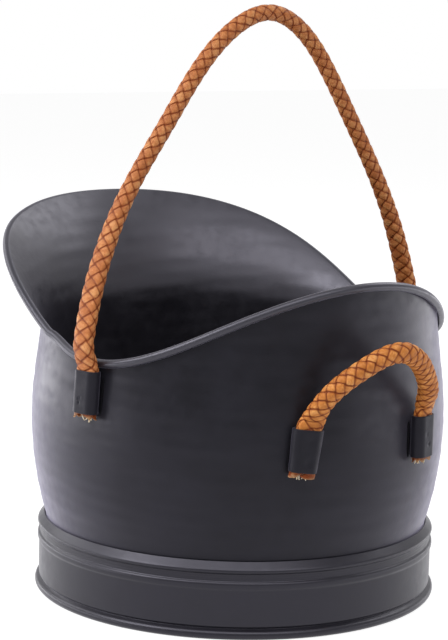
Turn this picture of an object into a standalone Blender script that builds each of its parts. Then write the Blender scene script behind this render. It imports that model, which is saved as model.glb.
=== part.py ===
"""Coal bucket: a helmet-shaped bucket of painted sheet steel with two rope handles.

Metres, +Z up. The pouring lip looks along -Y and the tipping handle along +Y, and the two
sockets of the carrying handle stand near +X and -X. Angles round the bucket are measured from
the lip towards +X. The base stands on z = 0, and the whole part is centred on its own box.
"""
import math

import bmesh
import bpy
import numpy as np
from mathutils import Matrix, Vector

# Sheet, wire and clearance
SHEET = 0.0010                    # thickness of the painted steel sheet
GAP = 0.0003                      # clearance between pieces that touch
RIM_BEAD_RADIUS = 0.0029          # outside of the rolled rim
RIM_WIRE_RADIUS = 0.0014          # wire inside the rolled rim
FOOT_WIRE_RADIUS = 0.0020         # wire inside the rolled foot
RIM_ROLL_DEGREES = 285            # how far the rim is rolled round its wire
SEGMENTS = 48                     # facets round the bucket
SHARP_DEGREES = 35                # edges that turn more than this are shaded sharp

# Foot band
CREASE_RADIUS = 0.1372            # outside of the body where the band meets it
BAND_STEP = 0.0048                # how far the band's plain wall stands out from the body
RIDGE_STEP = 0.0008               # the small ridge over the plain wall, beyond that wall
GROOVE_STEP = -0.0008             # the groove, within that wall
TOP_BEAD_STEP = 0.0012            # the bead at the top of the band, beyond that wall
RIDGE_LOW = 0.0352                # height where the ridge starts
RIDGE_HIGH = 0.0385               # height where the ridge ends
GROOVE_LOW = 0.0396               # height where the groove starts
GROOVE_HIGH = 0.0448              # height where the groove ends
TOP_BEAD_HEIGHT = 0.0466          # height of the top bead's edge
BAND_HEIGHT = 0.0523              # height of the crease where the band meets the body
FOOT_STEP = 0.0012                # height over which the wall turns out over the foot wire
FOOT_ROLL_FACETS = 10             # facets that a full roll of the foot would have
FOOT_ROLL_POINTS = 9              # points of the roll, which stops short of a full turn
FOOT_ROLL_START_DEGREES = 72      # direction of its first point, seen from the wire

# Body
BELLY_SWELL = 0.0109              # how far the widest place stands out from the crease
BELLY_HEIGHT = 0.1260
NECK_SWELL = 0.0031               # the same for the narrowest place over the belly
NECK_HEIGHT = 0.2180
NECK_RISE = 0.0010                # growth in radius from the neck to the height of the lip
BODY_FOOT = 0.0120                # height of the body's lower edge, inside the band
LIP_HEIGHT = 0.2700               # centre of the rim's bead at the lip
SIDE_HEIGHT = 0.1830              # the same at the sides
REAR_HEIGHT = 0.2352              # the same at the back
RIM_THIRD_WAVE = -0.0060          # moves the lowest place of the rim towards the back
RIM_FOURTH_WAVE = -0.0036         # makes the lip and the back broader
LIP_FLARE = 0.0335                # how far the lip stands out from the neck
FLARE_START = 0.1850              # height where the lip starts to stand out
FLARE_LEAST_DEPTH = 0.0080        # least height over which the flare is spread
LIP_FULL_DEGREES = 33             # the flare is full up to this angle
LIP_END_DEGREES = 92              # and is gone at this one
FLARE_POWER = 1.7                 # how suddenly the lip turns outwards
WALL_ROWS = 13                    # rows of facets from the crease to the rim
LOWER_ROWS = 2                    # rows of facets inside the band
WALL_ROW_POWER = 1.35             # above 1, the rows crowd towards the rim
ROLL_STEPS = 7                    # facets of the rolled rim
NUDGE_SHARE = 0.05                # share of a facet used to find the rim line's direction

# Base pan
PAN_HEIGHT = 0.0240               # top of the pan
PAN_FLANGE = 0.0070               # depth of the pan's turned-down edge
PAN_CORNER = 0.0020               # bend between the pan and its edge

# Sockets: flattened tubes
SOCKET_WIDTH = 0.0195             # across, along the body
SOCKET_DEPTH = 0.0111             # outwards from the body
SOCKET_WALL = 0.0013
SOCKET_LENGTH = 0.0288
SOCKET_ARC_STEPS = 6              # facets on each rounded side
SEAT_STEPS = 12                   # heights at which a socket is kept clear of the body
CARRY_SOCKET_DROP = 0.0086        # the carrying sockets' mouths lie this far under the side rim
REAR_SOCKET_DROP = 0.0897         # the rear sockets' mouths lie this far under the rear rim
CARRY_RIGHT_DEGREES = 101.0       # angles of the sockets round the bucket
CARRY_LEFT_DEGREES = -93.5
REAR_RIGHT_DEGREES = 160.1
REAR_LEFT_DEGREES = -162.7
CARRY_LEAN_DEGREES = 4.2          # how far the carrying sockets lean in towards the body
REAR_TILT_DEGREES = 6.5           # how far the right rear socket tilts towards the left one
WELD_RADIUS = 0.0009              # weld beads along both sides of a socket
WELD_LENGTH_SHARE = 0.85          # they reach up from the socket's lower end
WELD_TIP_SHARE = 0.5              # a bead's radius at its ends
WELD_STEPS = 4

# Rope
ROPE_RADIUS = 0.0059              # braided leather rope
CORE_RADIUS = 0.0022              # core inside the braid
ROPE_END_WIDTH = 0.0160           # the rope pressed flat inside a socket
ROPE_END_DEPTH = 0.0078
ROPE_TAIL = 0.0044                # length of cut rope below a socket
TAIL_HOLE_DEPTH = 0.0080          # hollow in the cut end, where the core stops short
CARRY_STUB = 0.0210               # height from a carrying socket's mouth to the swing axis
CARRY_STUB_OUT = 0.0060           # how far the rope leaves the socket's line to clear the rim
REAR_STUB = 0.0070                # height from a rear socket's mouth to its swing axis
REAR_RIGHT_STUB_IN = 0.0026       # how far the rope leaves that socket's line towards the left one
REAR_LEFT_STUB_IN = -0.0018       # below zero, it leaves the left socket's line away from the right one
ARCH_RISE = 0.2167                # from the swing axis to the rope's middle at the top
REAR_RISE = 0.0556
REAR_LEAN_DEGREES = 36.3          # how far the rear handle leans out
ROPE_SIDES = 10
WIRE_SIDES = 6
ARCH_RINGS = 44
REAR_RINGS = 22
STUB_RINGS = 8
STUB_BEND_SHARE = 0.8             # the bend round the rim ends at this share of the free height
STUB_FLAT_SHARE = 0.35            # the rope stays flat up to this share of it
BALL_STEPS = 4                    # rings in each rounded end

# Shape of the handles: reach from the middle and rise over the axis, from one end to the top
ARCH_RIGHT_SHARES = (1.0, 0.972, 0.907, 0.768, 0.567, 0.388, 0.207)
ARCH_LEFT_SHARES = (1.0, 0.954, 0.877, 0.734, 0.551, 0.385, 0.229)
ARCH_RISE_SHARES = (0.0, 0.10, 0.25, 0.45, 0.65, 0.82, 0.94)
ARCH_TOP_SHARE = -0.036           # how far the arch's top lies to the left
REAR_RIGHT_SHARES = (1.0, 0.990, 0.868, 0.568, 0.345)
REAR_LEFT_SHARES = (1.0, 0.932, 0.703, 0.375, 0.115)
REAR_RISE_SHARES = (0.0, 0.20, 0.50, 0.80, 0.95)
REAR_TOP_SHARE = 0.045

FULL_TURN = 2 * math.pi
BAND_RADIUS = CREASE_RADIUS + BAND_STEP
BELLY_RADIUS = CREASE_RADIUS + BELLY_SWELL
NECK_RADIUS = CREASE_RADIUS + NECK_SWELL
CARRY_SOCKET_TOP = SIDE_HEIGHT - CARRY_SOCKET_DROP
REAR_SOCKET_TOP = REAR_HEIGHT - REAR_SOCKET_DROP


def clear_scene():
    """Remove every object of the scene."""
    for item in list(bpy.data.objects):
        bpy.data.objects.remove(item, do_unlink=True)


# Materials

def plain_material(name, colour, roughness, metallic):
    """A Principled material with one colour."""
    material = bpy.data.materials.new(name)
    material.use_nodes = True
    shader = material.node_tree.nodes["Principled BSDF"]
    shader.inputs["Base Color"].default_value = (*colour, 1.0)
    shader.inputs["Roughness"].default_value = roughness
    shader.inputs["Metallic"].default_value = metallic
    return material


def painted_steel():
    """Satin charcoal paint on sheet steel."""
    return plain_material("painted_steel", (0.040, 0.040, 0.046), 0.45, 0.0)


def socket_steel():
    """The same paint, a little darker, on the pressed tubes."""
    return plain_material("socket_steel", (0.030, 0.030, 0.034), 0.5, 0.0)


def wire_steel():
    """Bare drawn wire, hidden in the rolled edges."""
    return plain_material("wire_steel", (0.45, 0.45, 0.46), 0.4, 1.0)


def rope_leather():
    """Tan braided leather."""
    return plain_material("rope_leather", (0.56, 0.22, 0.075), 0.6, 0.0)


def core_cord():
    """Pale twisted core of the rope."""
    return plain_material("core_cord", (0.55, 0.50, 0.42), 0.8, 0.0)


# General helpers

def add_object(name, mesh, material, parent=None):
    """Put a mesh in the scene as a named, smooth-shaded object."""
    mesh.name = name
    mesh.materials.append(material)
    mesh.shade_smooth()
    mesh.set_sharp_from_angle(angle=math.radians(SHARP_DEGREES))
    item = bpy.data.objects.new(name, mesh)
    bpy.context.collection.objects.link(item)
    item.parent = parent
    return item


def add_empty(name, matrix, parent=None):
    """An empty that carries other objects."""
    empty = bpy.data.objects.new(name, None)
    bpy.context.collection.objects.link(empty)
    empty.parent = parent
    empty.matrix_local = matrix
    return empty


def ring_faces(count, sides, closed_along):
    """The quads between rings of points, as lists of point numbers."""
    faces = []
    for ring in range(count if closed_along else count - 1):
        after = (ring + 1) % count
        for side in range(sides):
            beside = (side + 1) % sides
            faces.append((ring * sides + side, ring * sides + beside,
                          after * sides + beside, after * sides + side))
    return faces


def mesh_from_rings(rings, closed_along=False, cap_ends=False):
    """Join rings of points with quads: rings is an array of rings, points and coordinates."""
    rings = np.asarray(rings)
    count, sides = rings.shape[0], rings.shape[1]
    faces = ring_faces(count, sides, closed_along)
    if cap_ends:
        faces.append(tuple(range(sides))[::-1])
        faces.append(tuple((count - 1) * sides + side for side in range(sides)))
    mesh = bpy.data.meshes.new("rings")
    mesh.from_pydata(rings.reshape(-1, 3).tolist(), [], faces)
    return outward(mesh)


def outward(mesh):
    """Turn every face of a closed mesh outwards."""
    work = bmesh.new()
    work.from_mesh(mesh)
    bmesh.ops.recalc_face_normals(work, faces=work.faces)
    work.to_mesh(mesh)
    work.free()
    return mesh


def turned_mesh(outline):
    """Spin a closed outline of (radius, height) points round the Z axis."""
    work = bmesh.new()
    corners = [work.verts.new((radius, 0.0, height)) for radius, height in outline]
    edges = [work.edges.new((corners[k - 1], corners[k])) for k in range(len(corners))]
    bmesh.ops.spin(work, geom=corners + edges, cent=(0, 0, 0), axis=(0, 0, 1), dvec=(0, 0, 0),
                   angle=FULL_TURN, steps=SEGMENTS, use_merge=True, use_duplicate=False)
    bmesh.ops.recalc_face_normals(work, faces=work.faces)
    mesh = bpy.data.meshes.new("turned")
    work.to_mesh(mesh)
    work.free()
    return mesh


def sheet_outline(middle, thickness):
    """Close a (radius, height) line into an outline with a wall of the given thickness."""
    middle = np.asarray(middle)
    along = np.gradient(middle, axis=0)
    along /= np.linalg.norm(along, axis=1)[:, None]
    across = np.stack([along[:, 1], -along[:, 0]], axis=1)
    half = thickness / 2
    return np.concatenate([middle + across * half, (middle - across * half)[::-1]]).tolist()


def smooth_line(points, count):
    """A natural cubic spline through points, read at evenly spaced lengths."""
    points = np.asarray(points)
    steps = np.linalg.norm(np.diff(points, axis=0), axis=1)
    at = np.concatenate([[0.0], np.cumsum(steps)])
    size = len(points)
    matrix = np.eye(size)
    right = np.zeros_like(points)
    for k in range(1, size - 1):
        matrix[k, k - 1] = steps[k - 1]
        matrix[k, k] = 2 * (steps[k - 1] + steps[k])
        matrix[k, k + 1] = steps[k]
        ahead = (points[k + 1] - points[k]) / steps[k]
        behind = (points[k] - points[k - 1]) / steps[k - 1]
        right[k] = 6 * (ahead - behind)
    bend = np.linalg.solve(matrix, right)
    where = np.linspace(0, at[-1], count)
    span = np.clip(np.searchsorted(at, where, side="right") - 1, 0, size - 2)
    width = steps[span][:, None]
    before = (where - at[span])[:, None] / width
    after = 1 - before
    bulge = (after ** 3 - after) * bend[span] + (before ** 3 - before) * bend[span + 1]
    return after * points[span] + before * points[span + 1] + width ** 2 / 6 * bulge


def ease(value):
    """A smooth step from 0 to 1."""
    value = np.clip(value, 0, 1)
    return value * value * (3 - 2 * value)


# Body of the bucket

def profile_radius(height):
    """Outside radius of the plain turned body at a height."""
    height = np.asarray(height, float)
    below = np.clip((BELLY_HEIGHT - height) / (BELLY_HEIGHT - BAND_HEIGHT), 0, 1)
    lower = BELLY_RADIUS - (BELLY_RADIUS - CREASE_RADIUS) * below ** 2
    wave = np.clip((height - BELLY_HEIGHT) / (NECK_HEIGHT - BELLY_HEIGHT), 0, 1)
    middle = BELLY_RADIUS - (BELLY_RADIUS - NECK_RADIUS) * (1 - np.cos(np.pi * wave)) / 2
    above = np.clip((height - NECK_HEIGHT) / (LIP_HEIGHT - NECK_HEIGHT), 0, None)
    return np.where(height < BELLY_HEIGHT, lower, middle + NECK_RISE * above ** 2)


def rim_height(angle):
    """Height of the rim's bead at an angle: a few waves through the lip, the sides and the back."""
    mean = (LIP_HEIGHT + REAR_HEIGHT) / 2
    first = (LIP_HEIGHT - REAR_HEIGHT) / 2 - RIM_THIRD_WAVE
    second = (mean - SIDE_HEIGHT) / 2
    level = (mean + SIDE_HEIGHT) / 2 - RIM_FOURTH_WAVE
    return (level + first * np.cos(angle) + second * np.cos(2 * angle)
            + RIM_THIRD_WAVE * np.cos(3 * angle) + RIM_FOURTH_WAVE * np.cos(4 * angle))


def flare(angle, height, top):
    """How far the lip stands out at an angle and a height, below a rim of the height top."""
    turned = np.abs((np.degrees(angle) + 180) % 360 - 180)
    share = 1 - ease((turned - LIP_FULL_DEGREES) / (LIP_END_DEGREES - LIP_FULL_DEGREES))
    depth = np.maximum(top - FLARE_START, FLARE_LEAST_DEPTH)
    return LIP_FLARE * share * np.clip((height - FLARE_START) / depth, 0, 1) ** FLARE_POWER


def place_round(angle, radius, height):
    """Points at angles, radii and heights round the bucket's axis."""
    return np.stack([radius * np.sin(angle), -radius * np.cos(angle), height + 0 * angle], axis=-1)


def round_angles():
    """The angles of the facets' corners."""
    return np.arange(SEGMENTS) * FULL_TURN / SEGMENTS


def wall_rows(angle):
    """Rows of the sheet's middle surface, from the body's lower edge to its rim."""
    middle = SHEET / 2
    top = rim_height(angle)
    rows = []
    for k in range(LOWER_ROWS):
        height = BODY_FOOT + (BAND_HEIGHT - BODY_FOOT) * k / LOWER_ROWS
        rows.append(place_round(angle, CREASE_RADIUS - middle + 0 * angle, height))
    for k in range(WALL_ROWS + 1):
        share = 1 - (1 - k / WALL_ROWS) ** WALL_ROW_POWER
        height = BAND_HEIGHT + (top - BAND_HEIGHT) * share
        radius = profile_radius(height) - middle + flare(angle, height, top)
        rows.append(place_round(angle, radius, height))
    return np.array(rows)


def unit(vectors):
    """Vectors of length one."""
    return vectors / np.linalg.norm(vectors, axis=-1, keepdims=True)


def rim_frame(angle):
    """The rim line, its outward direction and its upward direction in the sheet."""
    tiny = FULL_TURN / SEGMENTS * NUDGE_SHARE
    rows = wall_rows(angle)
    here, below = rows[-1], rows[-2]
    along = unit(wall_rows(angle + tiny)[-1] - wall_rows(angle - tiny)[-1])
    outwards = unit(np.cross(along, here - below))
    return here, outwards, np.cross(outwards, along)


def rim_roll_radius():
    """Radius of the rolled sheet's middle round the rim wire."""
    return RIM_BEAD_RADIUS - SHEET / 2


def body_shell_mesh():
    """The bellied wall with its scooped rim, and the rim rolled outwards."""
    angle = round_angles()
    rows = wall_rows(angle)
    here, outwards, upwards = rim_frame(angle)
    centre = here + outwards * rim_roll_radius()
    roll = []
    for k in range(1, ROLL_STEPS + 1):
        turn = math.radians(RIM_ROLL_DEGREES) * k / ROLL_STEPS
        roll.append(centre + rim_roll_radius() * (upwards * math.sin(turn) - outwards * math.cos(turn)))
    rings = np.concatenate([rows, np.array(roll)])
    mesh = bpy.data.meshes.new("shell")
    mesh.from_pydata(rings.reshape(-1, 3).tolist(), [], ring_faces(len(rings), SEGMENTS, False))
    return mesh


def make_body_shell(material, parent):
    """The body: one sheet of even thickness."""
    shell = add_object("body_shell", body_shell_mesh(), material, parent)
    wall = shell.modifiers.new("sheet", "SOLIDIFY")
    wall.thickness = SHEET
    wall.offset = 0
    wall.use_even_offset = True
    wall.use_quality_normals = True
    return shell


def wire_turns():
    """The angles of a wire's facets."""
    return np.arange(WIRE_SIDES) * FULL_TURN / WIRE_SIDES


def make_rim_wire(material, parent):
    """The wire that the rim is rolled round."""
    angle = round_angles()
    here, outwards, upwards = rim_frame(angle)
    centre = here + outwards * rim_roll_radius()
    rings = []
    for turn in wire_turns():
        rings.append(centre + RIM_WIRE_RADIUS * (outwards * math.cos(turn) + upwards * math.sin(turn)))
    mesh = mesh_from_rings(rings, closed_along=True)
    return add_object("rim_wire", mesh, material, parent)


# Foot band and base

def foot_roll_radius():
    """Radius of the rolled sheet's middle round the foot wire."""
    return FOOT_WIRE_RADIUS + GAP + SHEET / 2


def foot_wire_centre():
    """Radius and height of the foot wire: the roll's lowest facet lies on the ground."""
    outside = foot_roll_radius() + SHEET / 2
    low = outside * math.cos(FULL_TURN / FOOT_ROLL_FACETS / 2)
    return BAND_RADIUS - SHEET / 2, low


def make_skirt_band(material, parent):
    """The foot band: rolled foot, plain wall, ridge, groove, top bead and sloping shoulder."""
    half = SHEET / 2
    wall = BAND_RADIUS - half
    wire_radius, wire_height = foot_wire_centre()
    line = [(CREASE_RADIUS + GAP + half, BAND_HEIGHT),
            (wall + TOP_BEAD_STEP, TOP_BEAD_HEIGHT + half),
            (wall + TOP_BEAD_STEP, TOP_BEAD_HEIGHT),
            (wall + GROOVE_STEP, GROOVE_HIGH),
            (wall + GROOVE_STEP, GROOVE_LOW),
            (wall + RIDGE_STEP, RIDGE_HIGH),
            (wall + RIDGE_STEP, RIDGE_LOW),
            (wall, RIDGE_LOW - FOOT_STEP),
            (wall, wire_height + foot_roll_radius() + FOOT_STEP)]
    for k in range(FOOT_ROLL_POINTS):
        turn = math.radians(FOOT_ROLL_START_DEGREES) - k * FULL_TURN / FOOT_ROLL_FACETS
        line.append((wire_radius + foot_roll_radius() * math.cos(turn),
                     wire_height + foot_roll_radius() * math.sin(turn)))
    return add_object("skirt_band", turned_mesh(sheet_outline(line, SHEET)), material, parent)


def make_foot_wire(material, parent):
    """The wire inside the rolled foot."""
    wire_radius, wire_height = foot_wire_centre()
    ring = [(wire_radius + FOOT_WIRE_RADIUS * math.cos(turn),
             wire_height + FOOT_WIRE_RADIUS * math.sin(turn)) for turn in wire_turns()]
    return add_object("foot_wire", turned_mesh(ring), material, parent)


def make_base_pan(material, parent):
    """The bottom: a disc whose edge is turned down and welded inside the body's lower edge."""
    edge = CREASE_RADIUS - SHEET - GAP
    low = PAN_HEIGHT - PAN_FLANGE
    inner = edge - SHEET
    outline = [(edge - PAN_CORNER, PAN_HEIGHT),
               (edge, PAN_HEIGHT - PAN_CORNER),
               (edge, low),
               (inner, low),
               (inner, PAN_HEIGHT - PAN_CORNER),
               (inner - PAN_CORNER + SHEET / 2, PAN_HEIGHT - SHEET)]
    rings = [place_round(round_angles(), radius, height) for radius, height in outline]
    return add_object("base_pan", mesh_from_rings(rings, cap_ends=True), material, parent)


# Sockets

class Seat:
    """Where one socket stands: its angle, its axis and its mouth, in the bucket's own frame."""

    def __init__(self, degrees, top, lean_degrees, tilt_degrees):
        angle = math.radians(degrees)
        self.out = Vector((math.sin(angle), -math.cos(angle), 0))
        self.side = Vector((math.cos(angle), math.sin(angle), 0))
        lean, tilt = math.radians(lean_degrees), math.radians(tilt_degrees)
        up = Vector((0, 0, 1))
        self.axis = (up - self.out * math.tan(lean) + self.side * math.tan(tilt)).normalized()
        self.depth = self.axis.cross(self.side).normalized() * -1
        self.width = self.depth.cross(self.axis).normalized()
        needed = []
        for k in range(SEAT_STEPS + 1):
            down = SOCKET_LENGTH * k / SEAT_STEPS
            wall = float(profile_radius(top - down))
            needed.append(wall - down * math.tan(lean))
        radius = max(needed) + GAP + SOCKET_DEPTH / 2 / math.cos(lean)
        self.mouth = self.out * radius + up * top
        self.top = top

    def matrix(self):
        """Turns a socket's own frame, mouth at the origin and +X along the body, into place."""
        turn = Matrix((self.width, self.depth, self.axis)).transposed().to_4x4()
        return Matrix.Translation(self.mouth) @ turn


def obround(width, depth, steps=SOCKET_ARC_STEPS):
    """Points of an oval with straight long sides, as many as fit a ring."""
    radius = depth / 2
    straight = width / 2 - radius
    points = []
    for centre, start in ((straight, -90), (-straight, 90)):
        for k in range(steps + 1):
            turn = math.radians(start + 180 * k / steps)
            points.append((centre + radius * math.cos(turn), radius * math.sin(turn)))
    return points


def make_socket(name, seat, material, parent):
    """A flattened tube, open at both ends."""
    rings = []
    outer = obround(SOCKET_WIDTH, SOCKET_DEPTH)
    inner = obround(SOCKET_WIDTH - 2 * SOCKET_WALL, SOCKET_DEPTH - 2 * SOCKET_WALL)
    for points, height in ((outer, -SOCKET_LENGTH), (outer, 0), (inner, 0), (inner, -SOCKET_LENGTH)):
        rings.append([(x, y, height) for x, y in points])
    mesh = mesh_from_rings(rings, closed_along=True)
    socket = add_object(name, mesh, material, parent)
    socket.matrix_local = seat.matrix()
    return socket


def wall_radius_at(point):
    """Outside radius of the body at a point's height."""
    return float(profile_radius(point.z))


def weld_rings(seat, hand):
    """Rings of one weld bead, nested between a socket's rounded side and the body."""
    round_side = SOCKET_DEPTH / 2
    reach = SOCKET_WIDTH / 2 - round_side + 2 * math.sqrt(round_side * (WELD_RADIUS + GAP))
    start = SOCKET_LENGTH * (1 - WELD_LENGTH_SHARE)
    rings = []
    for k in range(WELD_STEPS + 1):
        down = start + SOCKET_LENGTH * WELD_LENGTH_SHARE * k / WELD_STEPS
        radius = WELD_RADIUS * (WELD_TIP_SHARE + (1 - WELD_TIP_SHARE) * math.sin(math.pi * k / WELD_STEPS))
        seam = seat.mouth - seat.axis * down + seat.width * hand * reach
        out = Vector((seam.x, seam.y, 0)).normalized()
        along = out.cross(Vector((0, 0, 1)))
        centre = out * (wall_radius_at(seam) + GAP + radius) + Vector((0, 0, seam.z))
        rings.append([list(centre + radius * (math.cos(turn) * out + math.sin(turn) * along))
                      for turn in wire_turns()])
    return rings


def make_welds(name, seat, material, parent):
    """The two weld beads that fix a socket to the body, one along each side."""
    for place, hand in (("_weld_near", -1), ("_weld_far", 1)):
        bead = mesh_from_rings(weld_rings(seat, hand), cap_ends=True)
        add_object(name + place, bead, material, parent)


# Rope handles

def swing_point(seat, stub, out, side):
    """The middle of the rope on the swing axis, over a socket's mouth and moved out and sideways."""
    return seat.mouth + seat.axis * stub + seat.out * out + seat.side * side


def stub_heights(top, out):
    """Heights over the mouth of the rings of a rope's end, from its cut end upwards."""
    heights = [-SOCKET_LENGTH - ROPE_TAIL, -SOCKET_LENGTH, -SOCKET_LENGTH / 2]
    if out > 0:
        return heights + [top * k / STUB_RINGS for k in range(STUB_RINGS + 1)]
    return heights + [top]


def make_rope_end(name, seat, stub, out, material, parent):
    """The rope's end, pressed flat in its socket, with a hollow in its cut end.

    Over the mouth of a carrying socket it bends out round the rim's bead and grows round again.
    """
    top = stub - ROPE_RADIUS - GAP
    turns = np.arange(ROPE_SIDES) * FULL_TURN / ROPE_SIDES
    width_way, depth_way, axis = (np.array(way) for way in (seat.width, seat.depth, seat.axis))
    mouth, out_way = np.array(seat.mouth), np.array(seat.out)
    rings = []
    for height in stub_heights(top, out):
        share = max(height, 0) / top if out > 0 else 0
        centre = mouth + axis * height + out_way * out * ease(share / STUB_BEND_SHARE)
        free = ease((share - STUB_FLAT_SHARE) / (1 - STUB_FLAT_SHARE))
        wide = ROPE_END_WIDTH / 2 + (ROPE_RADIUS - ROPE_END_WIDTH / 2) * free
        deep = ROPE_END_DEPTH / 2 + (ROPE_RADIUS - ROPE_END_DEPTH / 2) * free
        rings.append(centre + wide * np.cos(turns)[:, None] * width_way
                     + deep * np.sin(turns)[:, None] * depth_way)
    low = mouth - axis * (SOCKET_LENGTH + ROPE_TAIL)
    round_way = np.cos(turns)[:, None] * width_way + np.sin(turns)[:, None] * depth_way
    hole = [low + axis * TAIL_HOLE_DEPTH + CORE_RADIUS * round_way, low + CORE_RADIUS * round_way]
    mesh = mesh_from_rings(np.array(hole + rings), cap_ends=True)
    return add_object(name, mesh, material, parent)


def arch_line(half, shape, count):
    """The middle of a handle in its own plane: X along the swing axis, Z up, right end to left."""
    rise, right_shares, left_shares, rise_shares, top_share = shape
    right = [(half * reach, 0, rise * up) for reach, up in zip(right_shares, rise_shares)]
    left = [(-half * reach, 0, rise * up) for reach, up in zip(left_shares, rise_shares)]
    return smooth_line(right + [(half * top_share, 0, rise)] + left[::-1], count)


def tube_frames(line):
    """Directions across a line that lies in the plane y = 0."""
    along = unit(np.gradient(line, axis=0))
    across = np.tile(np.array([0.0, 1.0, 0.0]), (len(line), 1))
    return along, across, np.cross(along, across)


def rope_mesh(line):
    """A rope with rounded ends and a bore for its core, along a line in the plane y = 0."""
    along, across, inwards = tube_frames(line)
    turns = np.arange(ROPE_SIDES) * FULL_TURN / ROPE_SIDES
    bore = CORE_RADIUS + GAP
    start = math.asin(bore / ROPE_RADIUS)

    def ring(centre, radius, k):
        return centre + radius * (np.cos(turns)[:, None] * across[k] + np.sin(turns)[:, None] * inwards[k])

    rings = []
    for k in range(BALL_STEPS):
        tilt = start + (math.pi / 2 - start) * k / BALL_STEPS
        before = line[0] - along[0] * ROPE_RADIUS * math.cos(tilt)
        rings.append(ring(before, ROPE_RADIUS * math.sin(tilt), 0))
    for k in range(len(line)):
        rings.append(ring(line[k], ROPE_RADIUS, k))
    for k in range(BALL_STEPS)[::-1]:
        tilt = start + (math.pi / 2 - start) * k / BALL_STEPS
        beyond = line[-1] + along[-1] * ROPE_RADIUS * math.cos(tilt)
        rings.append(ring(beyond, ROPE_RADIUS * math.sin(tilt), -1))
    for k in range(len(line))[::-1]:
        rings.append(ring(line[k], bore, k))
    return mesh_from_rings(rings, closed_along=True)


def core_mesh(line):
    """The core inside a rope, as long as the line."""
    along, across, inwards = tube_frames(line)
    over, beside = np.cos(wire_turns())[:, None], np.sin(wire_turns())[:, None]
    rings = [line[k] + CORE_RADIUS * (over * across[k] + beside * inwards[k]) for k in range(len(line))]
    return mesh_from_rings(rings, cap_ends=True)


def make_handle(name, points, lean_degrees, shape, rings, materials, parent):
    """A handle that swings about the line through two points: its pivot, its rope and its core."""
    right, left = points
    middle = (right + left) / 2
    swing = (right - left).normalized()
    backwards = Vector((0, 0, 1)).cross(swing).normalized()
    up = swing.cross(backwards)
    lean = math.radians(lean_degrees)
    rise_way = up * math.cos(lean) + backwards * math.sin(lean)
    across = rise_way.cross(swing)
    matrix = Matrix.Translation(middle) @ Matrix((swing, across, rise_way)).transposed().to_4x4()
    pivot = add_empty(name + "_pivot", matrix, parent)
    line = arch_line((right - left).length / 2, shape, rings)
    add_object(name + "_rope", rope_mesh(line), materials[0], pivot)
    add_object(name + "_core", core_mesh(line), materials[1], pivot)
    length = float(np.linalg.norm(np.diff(line, axis=0), axis=1).sum())
    print(name, "swings about", [round(v, 5) for v in swing], "free length", round(length, 4))
    return pivot


def centre_on_base(root):
    """Move everything so that the middle of the part's box, seen from above, is the origin."""
    bpy.context.view_layer.update()
    graph = bpy.context.evaluated_depsgraph_get()
    corners = []
    for item in bpy.data.objects:
        if item.type != "MESH":
            continue
        shape = item.evaluated_get(graph)
        mesh = shape.to_mesh()
        points = np.empty(len(mesh.vertices) * 3)
        mesh.vertices.foreach_get("co", points)
        matrix = np.array(item.matrix_world)
        points = points.reshape(-1, 3) @ matrix[:3, :3].T + matrix[:3, 3]
        corners += [points.min(axis=0), points.max(axis=0)]
        shape.to_mesh_clear()
    low, high = np.min(corners, axis=0), np.max(corners, axis=0)
    root.location = (-(low[0] + high[0]) / 2, -(low[1] + high[1]) / 2, 0)
    bpy.context.view_layer.update()
    print("bucket axis at", [round(v, 5) for v in root.location], "size", np.round(high - low, 4))


def main():
    """Build the bucket."""
    clear_scene()
    paint, dark_paint, wire = painted_steel(), socket_steel(), wire_steel()
    leather, cord = rope_leather(), core_cord()
    root = add_empty("bucket_axis", Matrix.Identity(4))

    make_body_shell(paint, root)
    make_rim_wire(wire, root)
    make_base_pan(paint, root)
    make_skirt_band(paint, root)
    make_foot_wire(wire, root)

    carry = {"right": Seat(CARRY_RIGHT_DEGREES, CARRY_SOCKET_TOP, CARRY_LEAN_DEGREES, 0),
             "left": Seat(CARRY_LEFT_DEGREES, CARRY_SOCKET_TOP, CARRY_LEAN_DEGREES, 0)}
    rear = {"right": Seat(REAR_RIGHT_DEGREES, REAR_SOCKET_TOP, 0, REAR_TILT_DEGREES),
            "left": Seat(REAR_LEFT_DEGREES, REAR_SOCKET_TOP, 0, 0)}
    for side, seat in carry.items():
        make_socket("carry_socket_" + side, seat, dark_paint, root)
        make_welds("carry_socket_" + side, seat, dark_paint, root)
        make_rope_end("carry_rope_end_" + side, seat, CARRY_STUB, CARRY_STUB_OUT, leather, root)
    for side, seat in rear.items():
        make_socket("rear_socket_" + side, seat, dark_paint, root)
        make_welds("rear_socket_" + side, seat, dark_paint, root)
        make_rope_end("rear_rope_end_" + side, seat, REAR_STUB, 0, leather, root)

    points = [swing_point(carry[side], CARRY_STUB, CARRY_STUB_OUT, 0) for side in ("right", "left")]
    arch = (ARCH_RISE, ARCH_RIGHT_SHARES, ARCH_LEFT_SHARES, ARCH_RISE_SHARES, ARCH_TOP_SHARE)
    pivots = [make_handle("carry_handle", points, 0, arch, ARCH_RINGS, (leather, cord), root)]
    points = [swing_point(rear["right"], REAR_STUB, 0, REAR_RIGHT_STUB_IN),
              swing_point(rear["left"], REAR_STUB, 0, -REAR_LEFT_STUB_IN)]
    bow = (REAR_RISE, REAR_RIGHT_SHARES, REAR_LEFT_SHARES, REAR_RISE_SHARES, REAR_TOP_SHARE)
    lean = REAR_LEAN_DEGREES
    pivots += [make_handle("rear_handle", points, lean, bow, REAR_RINGS, (leather, cord), root)]
    centre_on_base(root)
    for pivot in pivots:
        print(pivot.name, "at", [round(v, 5) for v in pivot.matrix_world.translation])


main()
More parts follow.
